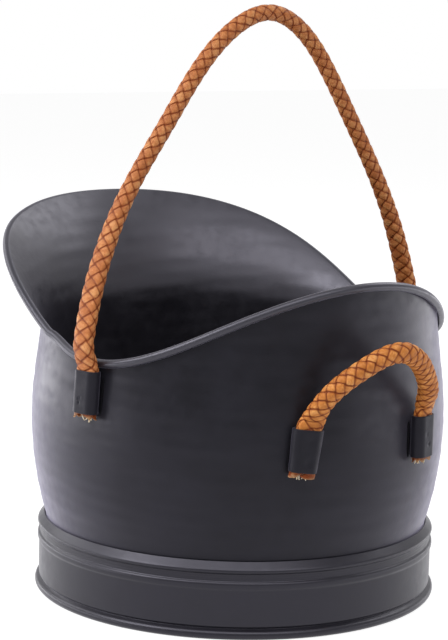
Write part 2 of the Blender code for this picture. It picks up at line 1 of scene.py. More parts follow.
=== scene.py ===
# %% [markdown]
# # A coal bucket with braided rope handles
#
# The real bucket is a helmet-shaped pail of thin sheet steel under satin charcoal paint. Its
# wall bellies out, draws in to a neck and opens into a pouring lip, and its rim and foot are
# rolled round wires. Two braided leather ropes are pressed into flattened tubes: a tall one to
# carry the bucket, and a short one behind it to tip it.
#
# The imported model holds the true sizes and the moving bodies. This script keeps the sizes, and makes
# the surfaces that the eye sees: smooth sheet, soft beads, lumpy welds and real woven strands.

# %% Load the imported bucket
import math

import bpy
import numpy as np
from mathutils import Matrix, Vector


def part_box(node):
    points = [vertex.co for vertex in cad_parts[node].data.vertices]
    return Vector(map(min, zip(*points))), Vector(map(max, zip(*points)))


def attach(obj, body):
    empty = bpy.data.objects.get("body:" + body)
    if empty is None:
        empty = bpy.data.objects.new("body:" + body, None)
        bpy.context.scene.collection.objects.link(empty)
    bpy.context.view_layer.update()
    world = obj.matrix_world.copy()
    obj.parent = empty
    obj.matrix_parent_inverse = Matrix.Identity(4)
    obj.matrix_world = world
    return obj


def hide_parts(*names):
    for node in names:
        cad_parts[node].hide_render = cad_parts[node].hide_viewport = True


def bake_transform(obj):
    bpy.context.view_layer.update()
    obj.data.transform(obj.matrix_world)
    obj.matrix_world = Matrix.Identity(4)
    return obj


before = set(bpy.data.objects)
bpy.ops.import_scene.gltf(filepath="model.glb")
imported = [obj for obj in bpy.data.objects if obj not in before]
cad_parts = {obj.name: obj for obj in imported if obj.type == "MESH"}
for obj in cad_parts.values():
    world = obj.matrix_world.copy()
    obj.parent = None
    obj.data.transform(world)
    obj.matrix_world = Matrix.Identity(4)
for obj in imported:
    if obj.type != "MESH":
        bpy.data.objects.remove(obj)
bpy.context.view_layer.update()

MM = 0.001
pan_low, pan_high = (np.array(corner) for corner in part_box("base_pan"))
AXIS = np.array([*((pan_low + pan_high) / 2)[:2], 0.0])
print("the bucket's axis in mm:", np.round(AXIS / MM, 2))

# %% [markdown]
# ## Small tools
#
# A few helpers carry the whole script. One turns a hex colour into the linear values that Blender
# wants, one adds a shader node with its settings and links, and two turn grids of points into
# closed meshes. Working the points out as whole arrays is much faster than adding them one by
# one, and the shape stays readable as a formula.

# %% Helpers for colours, nodes and objects
def srgb(code):
    """Linear values of an sRGB hex colour: each channel is put back through the sRGB curve."""
    channels = np.array([int(code[k:k + 2], 16) for k in (1, 3, 5)]) / 255
    linear = np.where(channels <= 0.04045, channels / 12.92, ((channels + 0.055) / 1.055) ** 2.4)
    return (*linear.tolist(), 1.0)


def connect(tree, node, inputs):
    """Give a node its inputs: each is a value, an output, or a node that gives its first output."""
    for key, value in inputs.items():
        if isinstance(value, bpy.types.Node):
            value = value.outputs[0]
        if isinstance(value, bpy.types.NodeSocket):
            tree.links.new(value, node.inputs[key])
        else:
            node.inputs[key].default_value = value
    return node


def add(tree, kind, inputs=None, **settings):
    """Add a shader node with its settings and its inputs."""
    node = tree.nodes.new("ShaderNode" + kind)
    for name, value in settings.items():
        setattr(node, name, value)
    return connect(tree, node, inputs or {})


def new_material(name):
    """An empty material, with its tree and its Principled shader."""
    material = bpy.data.materials.new(name)
    material.use_nodes = True
    return material, material.node_tree, material.node_tree.nodes["Principled BSDF"]


def new_object(name, data):
    """An object in the scene, at the origin and unturned."""
    item = bpy.data.objects.new(name, data)
    bpy.context.scene.collection.objects.link(item)
    return item


def stand(item, place, right, up, back):
    """Put a camera or a lamp in a place, so that it looks away from its back."""
    turn = np.stack([right, up, back], axis=1)
    item.matrix_world = Matrix.Translation(place) @ Matrix(turn.tolist()).to_4x4()


# %% Helpers for meshes
SHARP_FOLD, SHARP_LACE = 50, 60        # degrees, past which an edge of sheet or leather looks sharp


def grid_faces(rows, columns, wrap_rows):
    """Corner numbers of the faces of a grid: each row closes on itself, and so may the columns."""
    row = np.arange(rows if wrap_rows else rows - 1)
    row, column = np.meshgrid(row, np.arange(columns), indexing="ij")
    below, beside = (row + 1) % rows, (column + 1) % columns
    corners = [row * columns + column, row * columns + beside,
               below * columns + beside, below * columns + column]
    return np.stack(corners, axis=-1).reshape(-1, 4)


def signed_volume(points, faces):
    """Sum of the tetrahedra from the mesh's middle to its faces: negative where they point inwards."""
    a, b, c, d = (points[faces[:, k]] - points.mean(axis=0) for k in range(4))
    return (np.einsum("ij,ij->", np.cross(a, b), c) + np.einsum("ij,ij->", np.cross(a, c), d)) / 6


def mesh_piece(name, points, faces, material, sharp_degrees=180.0, caps=()):
    """Make a smooth-shaded object from points, four-sided faces and optional end caps."""
    caps = [list(cap) for cap in caps]
    if signed_volume(points, faces) < 0:
        faces = faces[:, ::-1]
        caps = [cap[::-1] for cap in caps]
    mesh = bpy.data.meshes.new(name)
    mesh.from_pydata(points.tolist(), [], faces.tolist() + caps)
    mesh.materials.append(material)
    mesh.shade_smooth()
    if sharp_degrees < 180.0:
        mesh.set_sharp_from_angle(angle=math.radians(sharp_degrees))
    return new_object(name, mesh)


def sheet_piece(name, rows, material, sharp_degrees=180.0):
    """Make one object of rows of points, of which the last is joined to the first."""
    faces = grid_faces(*rows.shape[:2], wrap_rows=True)
    return mesh_piece(name, rows.reshape(-1, 3), faces, material, sharp_degrees)


def tube_piece(name, tubes, material, sharp_degrees=180.0):
    """Make one object of several tubes, each given as rings of points and closed by two caps."""
    faces, caps, count = [], [], 0
    for tube in tubes:
        rings, sides = tube.shape[:2]
        ring = count + np.arange(sides)
        faces.append(grid_faces(rings, sides, wrap_rows=False) + count)
        caps += [ring[::-1], ring + (rings - 1) * sides]
        count += rings * sides
    points = np.concatenate([tube.reshape(-1, 3) for tube in tubes])
    return mesh_piece(name, points, np.concatenate(faces), material, sharp_degrees, caps)


def full_turn(count):
    """Even angles once round."""
    return np.arange(count) * math.tau / count


def round_tube(line, radius, first, second, sides):
    """Rings of points round a line: radius times the cosine of one way and the sine of another."""
    turned = full_turn(sides)[:, None]
    return line[:, None] + radius[..., None] * (np.cos(turned) * first + np.sin(turned) * second)


def dress(piece, body, slot, *nodes):
    """Let a piece ride on its body and let it stand for its CAD nodes. The slot is not used."""
    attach(piece, body)
    if nodes:
        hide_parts(*nodes)
    print(piece.name, "has", len(piece.data.polygons), "faces")


def unit(vectors):
    """Vectors of length one."""
    return vectors / np.linalg.norm(vectors, axis=-1, keepdims=True)


def ease(value):
    """A smooth step from 0 to 1, flat at both ends."""
    value = np.clip(value, 0, 1)
    return value * value * (3 - 2 * value)


# %% [markdown]
# ## Camera
#
# The camera stands where the photographer's stood: behind and to the right of the bucket, a
# little above its rim. A long lens keeps the perspective gentle. Its place is worked out from
# one point on the bucket's axis and the pixel in which the photograph shows it.

# %% Place the camera
PICTURE_WIDTH, PICTURE_HEIGHT = 448, 640
CAMERA_AZIMUTH, CAMERA_ELEVATION, CAMERA_ROLL = np.radians([143.0, 8.989, 1.370])
CAMERA_DISTANCE = 1500 * MM
TARGET_HEIGHT = 170 * MM
TARGET_PIXEL = (239.06, 351.70)
FOCAL_PIXELS = 2084.65
SENSOR = 36.0

camera_back = np.array([math.sin(CAMERA_AZIMUTH) * math.cos(CAMERA_ELEVATION),
                        -math.cos(CAMERA_AZIMUTH) * math.cos(CAMERA_ELEVATION),
                        math.sin(CAMERA_ELEVATION)])
level_right = np.array([math.cos(CAMERA_AZIMUTH), math.sin(CAMERA_AZIMUTH), 0.0])
level_up = np.cross(camera_back, level_right)
camera_right = level_right * math.cos(CAMERA_ROLL) + level_up * math.sin(CAMERA_ROLL)
camera_up = np.cross(camera_back, camera_right)
target = AXIS + [0, 0, TARGET_HEIGHT]
across = (TARGET_PIXEL[0] - PICTURE_WIDTH / 2) / FOCAL_PIXELS * CAMERA_DISTANCE
down = (TARGET_PIXEL[1] - PICTURE_HEIGHT / 2) / FOCAL_PIXELS * CAMERA_DISTANCE
eye = target + camera_back * CAMERA_DISTANCE - camera_right * across + camera_up * down

camera_data = bpy.data.cameras.new("camera")
camera_data.sensor_width = SENSOR
camera_data.lens = FOCAL_PIXELS * SENSOR / PICTURE_HEIGHT
camera = new_object("camera", camera_data)
stand(camera, eye, camera_right, camera_up, camera_back)
bpy.context.scene.camera = camera
print("camera at", np.round(eye, 4), "lens", round(camera_data.lens, 2))

# %% [markdown]
# ## Studio
#
# The bucket stands on white paper in a bright, soft studio. Dark satin paint shows little colour
# of its own: what the eye reads is the room mirrored in it, strongest along the edges. So the
# room is pure white to the camera, less bright in reflections and dimmer still as a light, since
# six soft boxes do the lighting. A key lamp stands at the left, a broad one hangs over the top,
# two behind the bucket draw the bright strips along its sides, and two low ones light its foot.
# The floor is part glowing white, part real paper, so that it keeps a soft shadow.

# %% Floor, room and lamps
FLOOR_SIZE = 12.0
PAPER_SHARE = 0.35        # how much of the floor's look is real, shaded paper
PAPER_GLOW = 1.32         # brightness of the rest, so that both together come out white
ROOM_LIGHT = 0.32         # brightness of the room as a light
ROOM_MIRRORED = 0.68      # its brightness in reflections


def ray_kinds(tree):
    """Whether a ray comes from the camera, and whether it was mirrored or let through."""
    path = add(tree, "LightPath").outputs
    mirrored = add(tree, "Math", {0: path["Is Glossy Ray"], 1: path["Is Transmission Ray"]},
                   operation="MAXIMUM")
    return path["Is Camera Ray"], mirrored


def paper_floor():
    """White paper: plain matt for light that it passes on, and mostly white to the eye."""
    material, tree, shader = new_material("studio_paper")
    connect(tree, shader, {"Base Color": srgb("#F4F4F4"), "Roughness": 0.9})
    direct, mirrored = ray_kinds(tree)
    seen = add(tree, "Math", {0: direct, 1: mirrored}, operation="MAXIMUM")
    share = add(tree, "Math", {0: seen, 1: 1 - PAPER_SHARE}, operation="MULTIPLY")
    white = add(tree, "Emission", {"Color": srgb("#FFFFFF"), "Strength": PAPER_GLOW})
    both = add(tree, "MixShader", {0: share, 1: shader, 2: white})
    connect(tree, tree.nodes["Material Output"], {"Surface": both})
    return material


def white_room():
    """A room that is white to the camera, less bright in reflections, and dimmest as a light."""
    world = bpy.data.worlds.new("white_room")
    world.use_nodes = True
    tree = world.node_tree
    tree.nodes.clear()
    direct, mirrored = ray_kinds(tree)
    unseen = add(tree, "MapRange", {"Value": mirrored, "To Min": ROOM_LIGHT, "To Max": ROOM_MIRRORED})
    level = add(tree, "MapRange", {"Value": direct, "To Min": unseen, "To Max": 1.0})
    white = add(tree, "Background", {"Color": srgb("#FFFFFF"), "Strength": level})
    add(tree, "OutputWorld", {"Surface": white})
    bpy.context.scene.world = world


def lamp(name, place, width, tall, brightness):
    """A soft box at metres aside, above and in front of the bucket, turned to it.

    Its energy is pi times its area times its brightness, so that 1 is as bright as white paper.
    """
    side, height, front = place
    data = bpy.data.lights.new(name, "AREA")
    data.shape, data.size, data.size_y = "RECTANGLE", width, tall
    data.energy = brightness * math.pi * width * tall
    item = new_object(name, data)
    item.visible_camera = False
    flat_back = unit(camera_back * [1, 1, 0])
    away = level_right * side + flat_back * front + np.array([0, 0, height])
    back = unit(away)
    right = unit(np.cross([0, 0, 1], back))
    stand(item, target + away, right, np.cross(back, right), back)


edge = FLOOR_SIZE / 2
corners = [(-edge, -edge, 0), (edge, -edge, 0), (edge, edge, 0), (-edge, edge, 0)]
floor_mesh = bpy.data.meshes.new("floor")
floor_mesh.from_pydata(corners, [], [(0, 1, 2, 3)])
floor_mesh.materials.append(paper_floor())
floor = new_object("floor", floor_mesh)
white_room()
lamp("key_lamp", (-1.4, 1.2, 0.5), width=1.2, tall=1.0, brightness=4.6)
lamp("top_lamp", (-0.2, 1.7, 1.1), width=3.8, tall=1.1, brightness=2.9)
lamp("left_back_lamp", (-1.5, 0.9, -0.9), width=1.2, tall=0.8, brightness=2.2)
lamp("right_back_lamp", (1.25, 1.4, -1.0), width=1.3, tall=0.8, brightness=3.0)
lamp("left_floor_lamp", (-0.9, -0.08, -0.15), width=1.5, tall=0.17, brightness=3.8)
lamp("right_floor_lamp", (0.9, -0.08, -0.15), width=1.5, tall=0.17, brightness=1.8)
bpy.context.scene.view_settings.view_transform = "Standard"
print("lamps:", len(bpy.data.lights))

# %% [markdown]
# ## Paint
#
# The steel wears a satin stove paint. It is nearly black, dries to a faint orange peel about a
# millimetre across, and is never quite even: some patches are a little more matt than others.
# Noise on object coordinates gives both, so that it flows over every sheet without a seam.
#
# One function makes the six finishes. Coal dust clings to the outside, which is the sheen's work. The
# inside and the rim are lighter, glossier copies of the paint: their lighter tone is painted light, for
# the brightness they show. The band is the smoothest, the tubes are rough from their flattening, and
# the welds stay matt, with a darker tone that is painted shade for the corners beside the tubes.

# %% Paint materials
PATCH, STREAK, ORANGE_PEEL = 34 * MM, 7 * MM, 1.3 * MM
PEEL_DEPTH = 0.1 * MM
TONE_LOW, TONE_HIGH = 0.3, 0.7            # the noise of the patches hardly leaves this range
GLOSS_LOW, GLOSS_HIGH = 0.15, 0.37        # and the product of patches and streaks stays in this one
GLOSS_TINT, DUST_TINT, DUST_ROUGHNESS = "#EAE7F8", "#BDB8D0", 0.40


def satin_paint(name, dark, light, low_rough, high_rough, peel, dust, gloss):
    """Satin stove paint: two near-black tones in soft patches, uneven gloss and an orange-peel bump."""
    material, tree, shader = new_material(name)
    place = add(tree, "TexCoord").outputs["Object"]
    patches, streaks, peel_noise = (
        add(tree, "TexNoise", {"Vector": place, "Scale": 1 / size, "Detail": detail, "Roughness": fine})
        for size, detail, fine in ((PATCH, 4.0, 0.6), (STREAK, 3.0, 0.5), (ORANGE_PEEL, 2.0, 0.5)))
    share = add(tree, "MapRange", {"Value": patches, "From Min": TONE_LOW, "From Max": TONE_HIGH})
    colour = add(tree, "Mix", {0: share, 6: srgb(dark), 7: srgb(light)}, data_type="RGBA")
    mixed = add(tree, "Math", {0: patches, 1: streaks}, operation="MULTIPLY")
    rough = add(tree, "MapRange", {"Value": mixed, "From Min": GLOSS_LOW, "From Max": GLOSS_HIGH,
                                   "To Min": low_rough, "To Max": high_rough})
    bump = add(tree, "Bump", {"Height": peel_noise, "Strength": peel, "Distance": PEEL_DEPTH})
    connect(tree, shader, {"Base Color": colour.outputs[2], "Roughness": rough, "Normal": bump,
                           "Specular IOR Level": gloss, "Specular Tint": srgb(GLOSS_TINT),
                           "Sheen Weight": dust, "Sheen Tint": srgb(DUST_TINT),
                           "Sheen Roughness": DUST_ROUGHNESS})
    return material


# Name, two tones, roughness from and to, and the strength of orange peel, dust and gloss.
body_paint = satin_paint("satin_stove_paint", "#070709", "#131318", 0.30, 0.44, 0.25, 1.1, 0.24)
# The inside and the rim are lighter copies of the body paint: their lighter tone is painted light.
inner_paint = satin_paint("satin_stove_paint_inside", "#141317", "#201F24", 0.32, 0.44, 0.25, 0.1, 0.88)
rim_paint = satin_paint("satin_stove_paint_rim", "#121216", "#1B1A1F", 0.32, 0.42, 0.20, 0.5, 0.80)
band_paint = satin_paint("satin_stove_paint_band", "#08070D", "#0F0E15", 0.30, 0.38, 0.25, 0.2, 0.51)
tube_paint = satin_paint("satin_stove_paint_tubes", "#09090D", "#131218", 0.42, 0.58, 0.80, 0.3, 0.27)
# The welds' darker tone is painted shade for the corners beside the tubes.
weld_shaded_paint = satin_paint("matt_stove_paint_welds_shaded", "#060608", "#0A0A0C", 0.65, 0.80, 0.60, 0.0, 0.12)

# %% [markdown]
# The rolled rim and foot hide a drawn steel wire, and the braid hides a twisted cotton core. They
# barely show, yet a buyer who looks into the roll's open side sees bare metal, so both keep their
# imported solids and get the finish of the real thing: bright drawn wire with fine draw lines, and
# pale cotton with a slanting twist.

# %% Wire and cotton materials
DRAW_LINE = 0.15 * MM
COTTON_TWIST, TWIST_DEPTH = 1.1 * MM, 0.2 * MM


def drawn_wire():
    """Bare drawn steel: a metal whose gloss varies in fine lines left by the die."""
    material, tree, shader = new_material("drawn_steel_wire")
    place = add(tree, "TexCoord").outputs["Object"]
    lines = add(tree, "TexNoise", {"Vector": place, "Scale": 1 / DRAW_LINE, "Detail": 2.0})
    rough = add(tree, "MapRange", {"Value": lines, "To Min": 0.28, "To Max": 0.45})
    connect(tree, shader, {"Base Color": srgb("#A8A9AC"), "Metallic": 1.0, "Roughness": rough})
    return material


def twisted_cotton():
    """Undyed cotton yarn: cream, matt and fuzzy, with a twist about a millimetre wide."""
    material, tree, shader = new_material("twisted_cotton")
    place = add(tree, "TexCoord").outputs["Object"]
    tilted = add(tree, "Mapping", {"Vector": place, "Rotation": (0.6, 0.0, 0.4)})
    twist = add(tree, "TexWave", {"Vector": tilted, "Scale": 1 / COTTON_TWIST / math.tau,
                                  "Distortion": 2.0, "Detail": 2.0}).outputs["Fac"]
    colour = add(tree, "Mix", {0: twist, 6: srgb("#C9B594"), 7: srgb("#EFE6D2")}, data_type="RGBA")
    bump = add(tree, "Bump", {"Height": twist, "Strength": 0.6, "Distance": TWIST_DEPTH})
    connect(tree, shader, {"Base Color": colour.outputs[2], "Roughness": 0.85, "Sheen Weight": 0.3,
                           "Normal": bump})
    return material


wire_metal = drawn_wire()
cotton = twisted_cotton()
for node, finish in (("rim_wire", wire_metal), ("foot_wire", wire_metal),
                     ("carry_handle_core", cotton), ("rear_handle_core", cotton)):
    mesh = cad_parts[node].data
    mesh.materials.clear()
    mesh.materials.append(finish)
    print(node, "is finished in", finish.name)

# %% [markdown]
# ## The body
#
# On the real bucket the body is one sheet, rolled into a drum, spun out over a former and cut to
# the helmet line. A lathe tool could make the drum, but not the lip, which stands out only in
# front. So the sheet is a function of two parameters: the angle round the bucket, and how far up
# the wall a point lies. Height gives the radius of belly and neck, angle gives the height of the
# rim, and both together give the flare of the lip.

# %% Shape of the wall
SHEET = 1.0 * MM
CREASE_RADIUS, BAND_HEIGHT = 137.2 * MM, 52.3 * MM
BELLY_RADIUS, BELLY_HEIGHT = 148.1 * MM, 126.0 * MM
NECK_RADIUS, NECK_HEIGHT, NECK_RISE = 140.3 * MM, 218.0 * MM, 1.0 * MM
BODY_FOOT = 12.0 * MM
LIP_HEIGHT, SIDE_HEIGHT, REAR_HEIGHT = 270.0 * MM, 183.0 * MM, 235.2 * MM
RIM_THIRD_WAVE, RIM_FOURTH_WAVE = -6.0 * MM, -3.6 * MM
LIP_FLARE, FLARE_START, FLARE_LEAST_DEPTH = 33.5 * MM, 185.0 * MM, 8.0 * MM
LIP_FULL_DEGREES, LIP_END_DEGREES, FLARE_POWER = 33, 92, 1.7


def profile_radius(height):
    """Outside radius at a height: a parabola up to the belly, then half a cosine wave to the neck."""
    below = np.clip((BELLY_HEIGHT - height) / (BELLY_HEIGHT - BAND_HEIGHT), 0, 1)
    lower = BELLY_RADIUS - (BELLY_RADIUS - CREASE_RADIUS) * below ** 2
    wave = np.clip((height - BELLY_HEIGHT) / (NECK_HEIGHT - BELLY_HEIGHT), 0, 1)
    middle = BELLY_RADIUS - (BELLY_RADIUS - NECK_RADIUS) * (1 - np.cos(np.pi * wave)) / 2
    above = np.clip((height - NECK_HEIGHT) / (LIP_HEIGHT - NECK_HEIGHT), 0, None)
    return np.where(height < BELLY_HEIGHT, lower, middle + NECK_RISE * above ** 2)


def rim_height(angle):
    """Height of the rim at an angle: a level and four cosine waves through lip, sides and back."""
    mean = (LIP_HEIGHT + REAR_HEIGHT) / 2
    first = (LIP_HEIGHT - REAR_HEIGHT) / 2 - RIM_THIRD_WAVE
    second = (mean - SIDE_HEIGHT) / 2
    level = (mean + SIDE_HEIGHT) / 2 - RIM_FOURTH_WAVE
    return (level + first * np.cos(angle) + second * np.cos(2 * angle)
            + RIM_THIRD_WAVE * np.cos(3 * angle) + RIM_FOURTH_WAVE * np.cos(4 * angle))


def flare(angle, height, top):
    """Extra radius of the lip: full in front, eased away to the sides, growing as a power of height."""
    turned = np.abs((np.degrees(angle) + 180) % 360 - 180)
    share = 1 - ease((turned - LIP_FULL_DEGREES) / (LIP_END_DEGREES - LIP_FULL_DEGREES))
    depth = np.maximum(top - FLARE_START, FLARE_LEAST_DEPTH)
    return LIP_FLARE * share * np.clip((height - FLARE_START) / depth, 0, 1) ** FLARE_POWER


def round_points(angle, radius, height):
    """Points at angles from the lip, radii from the bucket's axis, and heights."""
    angle, radius, height = np.broadcast_arrays(angle, radius, height)
    return AXIS + np.stack([radius * np.sin(angle), -radius * np.cos(angle), height], axis=-1)


# %% [markdown]
# Hand-spun sheet is never true. A few long, low waves, each a twentieth of a millimetre deep,
# bend the mirrored room just enough to look like metal. They fade out near the foot band and the
# rim, where the sheet is held.

# %% Build the body sheet
BODY_COLUMNS = 360
LOWER_ROWS, WALL_ROWS, ROLL_ROWS = 8, 84, 26
ROLL_DEGREES = 285
BEAD_RADIUS = 2.9 * MM
WAVE_DEPTH, WAVE_SPAN = 0.05 * MM, 100 * MM
# Each wave has its whole turns round the bucket, its radians over the span, and its start.
WAVES = ((2, 31, 0.3), (3, -24, 1.7), (5, 38, 4.1), (7, -52, 2.2), (9, 64, 5.3))
WAVE_FADE_LOW, WAVE_FADE_HIGH = 25 * MM, 12 * MM
OUTSIDE, INSIDE, RIM = 0, 1, 2           # the body's materials, in their order


def spun_waves(angle, height, top):
    """Unevenness of the wall: a sum of waves with whole numbers of turns, faded at both edges."""
    hold = ease((height - BAND_HEIGHT) / WAVE_FADE_LOW) * ease((top - height) / WAVE_FADE_HIGH)
    return hold * sum(WAVE_DEPTH * np.sin(turns * angle + rise * height / WAVE_SPAN + start)
                      for turns, rise, start in WAVES)


def body_middle(angle):
    """Middle surface of the sheet as rows of points, from the hidden lower edge up to the rim."""
    top = rim_height(angle)
    lower = np.linspace(BODY_FOOT, BAND_HEIGHT, LOWER_ROWS, endpoint=False)[:, None] + 0 * angle
    share = np.linspace(0, 1, WALL_ROWS)[:, None]
    upper = BAND_HEIGHT + (top - BAND_HEIGHT) * share
    height = np.concatenate([lower, upper])
    radius = (profile_radius(height) - SHEET / 2 + flare(angle, height, top)
              + spun_waves(angle, height, top))
    return round_points(angle, radius, height)


def roll_over(wall):
    """Rows of a rolled edge: an arc that leaves the last row along the wall and turns outwards."""
    radius = BEAD_RADIUS - SHEET / 2
    rim = wall[-1]
    along = unit(np.roll(rim, -1, axis=0) - np.roll(rim, 1, axis=0))
    outwards = unit(np.cross(along, rim - wall[-2]))
    upwards = np.cross(outwards, along)
    turned = np.radians(ROLL_DEGREES) * np.arange(1, ROLL_ROWS + 1)[:, None, None] / ROLL_ROWS
    return rim + radius * (outwards * (1 - np.cos(turned)) + upwards * np.sin(turned))


def thicken(middle, thickness):
    """Both faces of a sheet: each point moved along the cross product of its two neighbours' lines."""
    along = np.roll(middle, -1, axis=1) - np.roll(middle, 1, axis=1)
    normal = unit(np.cross(along, np.gradient(middle, axis=0)))
    half = normal * thickness / 2
    return np.concatenate([middle + half, (middle - half)[::-1]])


wall = body_middle(full_turn(BODY_COLUMNS))
rows = thicken(np.concatenate([wall, roll_over(wall)]), SHEET)
body = sheet_piece("body", rows, body_paint, SHARP_FOLD)
body.data.materials.append(inner_paint)
body.data.materials.append(rim_paint)
# The inside and the rolled rim take the lighter copies of the paint, whose lighter tone is painted
# light.
row = np.arange(len(rows))
row_paint = np.where(row < len(wall), OUTSIDE, np.where(row < len(rows) - len(wall), RIM, INSIDE))
body.data.polygons.foreach_set("material_index", np.repeat(row_paint, BODY_COLUMNS).astype(np.int32))
dress(body, "bucket", "painted_steel", "body_shell")

# %% [markdown]
# ## Foot band and bottom
#
# The foot is a second strip of sheet. Rolls pressed a shoulder, a groove and a ridge into it, and
# its lower edge is tucked tightly round a wire, with a nip above it that shows as a dark line.
# Pressed sheet has soft corners, so the section is drawn with straight runs, cut into very short
# steps and blurred, as a press blurs the corners of its dies. Then it is turned round the axis.

# %% Section of the foot band
BAND_RADIUS = 142.0 * MM
RIDGE_RADIUS, RIDGE_LOW, RIDGE_HIGH = 143.0 * MM, 35.2 * MM, 38.5 * MM
GROOVE_RADIUS, GROOVE_LOW, GROOVE_HIGH = 141.2 * MM, 39.6 * MM, 44.8 * MM
BEAD_EDGE_RADIUS, BEAD_EDGE_HEIGHT = 143.2 * MM, 46.6 * MM
GAP = 0.3 * MM
FOOT_WIRE_RADIUS = 2.0 * MM
FOOT_ROLL_START, FOOT_ROLL_TURN = np.radians([78, 290])
FOOT_ROLL_STEPS = 60
RIDGE_RUN_OUT, ROLL_RUN_IN = 1.2 * MM, 0.9 * MM
NIP_DEPTH, NIP_HEIGHT, NIP_SPREAD = 1.15 * MM, 7.4 * MM, 1.15 * MM
NIP_FROM = 0.9            # the nip begins this share of the roll's radius above its middle
FAINT_LINE_DEPTH, FAINT_LINE_SPREAD = 0.09 * MM, 0.35 * MM
FAINT_LINE_HEIGHTS = (41.2 * MM, 43.0 * MM)
SECTION_STEP, CORNER_BLUR = 0.12 * MM, 0.75 * MM
BAND_COLUMNS, BAND_ROW_STEP = 216, 0.3 * MM


def resample(line, step):
    """The same line with its points a fixed step apart."""
    line = np.asarray(line, float)
    at = np.concatenate([[0], np.cumsum(np.linalg.norm(np.diff(line, axis=0), axis=1))])
    where = np.linspace(0, at[-1], int(round(at[-1] / step)) + 1)
    return np.stack([np.interp(where, at, line[:, k]) for k in range(line.shape[1])], axis=1)


def blur(line, step, spread):
    """Replace each point by the bell-weighted mean of its neighbours; straight ends stay straight."""
    reach = int(4 * spread / step)
    weights = np.exp(-0.5 * (np.arange(-reach, reach + 1) * step / spread) ** 2)
    weights /= weights.sum()
    before = 2 * line[0] - line[reach:0:-1]
    after = 2 * line[-1] - line[-2:-reach - 2:-1]
    longer = np.concatenate([before, line, after])
    return np.stack([np.convolve(longer[:, k], weights, mode="valid")
                     for k in range(line.shape[1])], axis=1)


def band_section():
    """Radius and height along the middle of the band's sheet, from its shoulder to inside its foot."""
    half = SHEET / 2
    roll = FOOT_WIRE_RADIUS + GAP + half
    centre = np.array([BAND_RADIUS - half, roll + half])
    turned = FOOT_ROLL_START - np.linspace(0, FOOT_ROLL_TURN, FOOT_ROLL_STEPS)
    arc = centre + roll * np.stack([np.cos(turned), np.sin(turned)], axis=1)
    press = [(CREASE_RADIUS + GAP + half, BAND_HEIGHT),
             (BEAD_EDGE_RADIUS - half, BEAD_EDGE_HEIGHT + half),
             (BEAD_EDGE_RADIUS - half, BEAD_EDGE_HEIGHT),
             (GROOVE_RADIUS - half, GROOVE_HIGH),
             (GROOVE_RADIUS - half, GROOVE_LOW),
             (RIDGE_RADIUS - half, RIDGE_HIGH),
             (RIDGE_RADIUS - half, RIDGE_LOW),
             (BAND_RADIUS - half, RIDGE_LOW - RIDGE_RUN_OUT),
             (BAND_RADIUS - half, centre[1] + roll + ROLL_RUN_IN)]
    line = blur(resample(np.concatenate([press, arc]), SECTION_STEP), SECTION_STEP, CORNER_BLUR)
    outside = line[:, 0] > BAND_RADIUS - 3 * SHEET
    nip = NIP_DEPTH * np.exp(-((line[:, 1] - NIP_HEIGHT) / NIP_SPREAD) ** 2)
    line[:, 0] -= np.where(outside & (line[:, 1] > centre[1] + roll * NIP_FROM), nip, 0)
    for height in FAINT_LINE_HEIGHTS:
        line[:, 0] += FAINT_LINE_DEPTH * np.exp(-((line[:, 1] - height) / FAINT_LINE_SPREAD) ** 2)
    return line


def sheet_section(line, thickness):
    """A closed outline: both sides of a line, half a thickness away along its normals."""
    along = unit(np.gradient(line, axis=0))
    across = np.stack([along[:, 1], -along[:, 0]], axis=1) * thickness / 2
    return np.concatenate([line + across, (line - across)[::-1]])


def turned_rows(section, columns):
    """Spin a section of radii and heights: one row of points for each point of the section."""
    return round_points(full_turn(columns), section[:, :1], section[:, 1:])


# %% Build the foot band and the bottom
section = sheet_section(resample(band_section(), BAND_ROW_STEP), SHEET)
band = sheet_piece("foot_band", turned_rows(section, BAND_COLUMNS), band_paint, SHARP_FOLD)
dress(band, "bucket", "painted_steel", "skirt_band")

PAN_HEIGHT, PAN_FLANGE, PAN_CORNER = 24.0 * MM, 7.0 * MM, 2.0 * MM
PAN_CENTRE_HOLE = 1.0 * MM
PAN_CORNER_STEPS, PAN_FLAT_STEPS = 12, 40
PAN_FIT = 0.02 * MM        # pressed in, so that no light comes up round it


def pan_section():
    """The bottom as a sheet: flat from the middle to a rounded corner, then down along the wall."""
    edge = CREASE_RADIUS - SHEET - PAN_FIT - SHEET / 2
    top = PAN_HEIGHT - SHEET / 2
    turned = np.linspace(np.pi / 2, 0, PAN_CORNER_STEPS)
    corner = np.array([edge - PAN_CORNER, top - PAN_CORNER])
    arc = corner + PAN_CORNER * np.stack([np.cos(turned), np.sin(turned)], axis=1)
    reach = np.linspace(PAN_CENTRE_HOLE, edge - PAN_CORNER, PAN_FLAT_STEPS, endpoint=False)
    flat = np.stack([reach, np.full(PAN_FLAT_STEPS, top)], axis=1)
    return np.concatenate([flat, arc, [[edge, PAN_HEIGHT - PAN_FLANGE]]])


section = sheet_section(pan_section(), SHEET)
bottom = tube_piece("bottom", [turned_rows(section, BAND_COLUMNS)], body_paint, SHARP_FOLD)
dress(bottom, "bucket", "painted_steel", "base_pan")

# %% [markdown]
# ## Sockets
#
# Each rope end sits in a short tube that was flattened over it, punched to grip it and welded to
# the body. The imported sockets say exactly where: their longest, middle and shortest directions
# come from their own corner points. The fine tube follows an oval outline, with rounded mouths,
# and bell-shaped dents where the punch went in.

# %% Read the sockets' places
def node_points(name):
    """The different corner points of a CAD node."""
    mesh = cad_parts[name].data
    points = np.empty(len(mesh.vertices) * 3)
    mesh.vertices.foreach_get("co", points)
    return np.unique(np.round(points.reshape(-1, 3), 7), axis=0)


def main_ways(points):
    """The shortest, the middle and the longest direction of points round their middle."""
    return np.linalg.eigh(np.cov(points.T))[1].T


